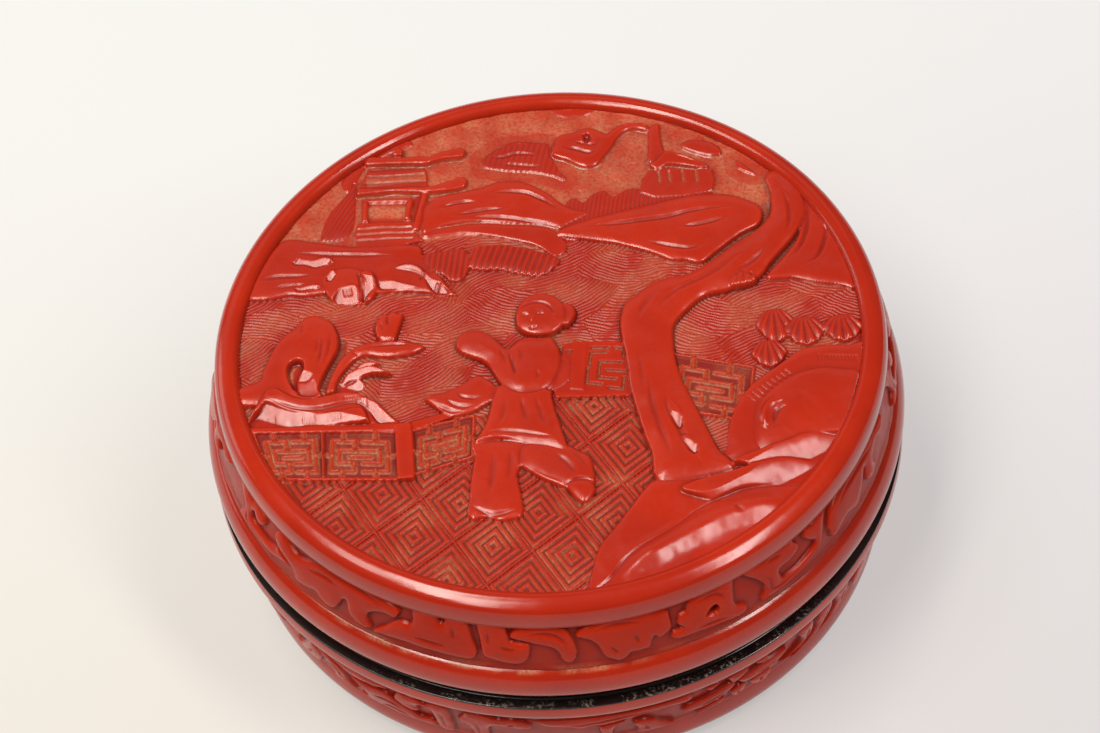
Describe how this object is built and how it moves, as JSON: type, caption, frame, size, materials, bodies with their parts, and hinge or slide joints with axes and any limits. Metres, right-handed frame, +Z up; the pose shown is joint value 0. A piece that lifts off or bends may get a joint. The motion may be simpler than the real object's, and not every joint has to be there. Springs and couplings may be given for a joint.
{
  "type": "carved lacquer box",
  "caption": "Round carved red lacquer box with a lift-off lid, black-lacquered inside, on a low foot ring.",
  "frame": {"origin": "centre of the plane that the foot ring stands on", "axes": "+Z up along the box's turning axis, +Y towards the far side of the carved scene, so that it reads upright from -Y"},
  "size_m": [0.096, 0.096, 0.0376],
  "materials": {
    "cinnabar_lacquer": "semi-gloss carved cinnabar lacquer",
    "black_lacquer": "polished black lacquer",
    "core_wood": "bare turned wood"
  },
  "bodies": {
    "base": {"base_core_wall": "core_wood", "base_core_board": "core_wood", "base_lining": "black_lacquer", "base_collar": "black_lacquer", "base_mouth_ring": "black_lacquer", "base_mouth_bead": "cinnabar_lacquer", "base_side_band": "cinnabar_lacquer", "base_foot_bead": "cinnabar_lacquer", "base_foot_ring": "black_lacquer", "base_underside": "black_lacquer"},
    "lid": {"lid_core_wall": "core_wood", "lid_core_board": "core_wood", "lid_lining": "black_lacquer", "lid_top_panel": "cinnabar_lacquer", "lid_rim_moulding": "cinnabar_lacquer", "lid_side_band": "cinnabar_lacquer", "lid_mouth_bead": "cinnabar_lacquer", "lid_mouth_ring": "black_lacquer"}
  },
  "joints": [
    {"name": "lid_lift", "type": "slide", "parent": "base", "child": "lid", "axis": [0, 0, 1], "range_m": [0, 0.06]}
  ]
}
